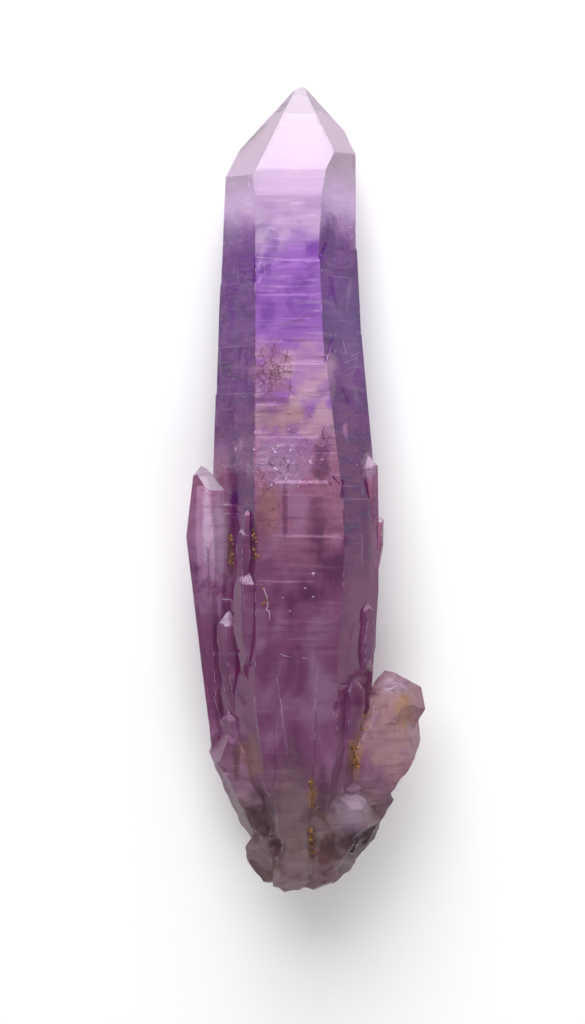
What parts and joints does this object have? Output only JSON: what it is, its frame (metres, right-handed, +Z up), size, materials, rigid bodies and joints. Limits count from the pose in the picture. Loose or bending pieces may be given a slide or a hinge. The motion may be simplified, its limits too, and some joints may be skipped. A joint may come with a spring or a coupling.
{
  "type": "amethyst crystal",
  "caption": "Long tapering amethyst crystal with a pale pointed tip, a violet band, smaller crystals grown along its flanks and a rough broken root.",
  "frame": {"origin": "middle of the base of the crystal's box, on the surface that it lies on", "axes": "+Y runs along the crystal to its tip, +Z is up from the back prism face that it lies on, +X is to the right of someone who looks down on it with the tip pointing away"},
  "size_m": [0.0476, 0.161, 0.029],
  "materials": {
    "amethyst": "glossy crystal faces, clear to milky, with a duller stained root"
  },
  "bodies": {
    "root": {"amethyst_crystal": "amethyst"}
  },
  "joints": []
}
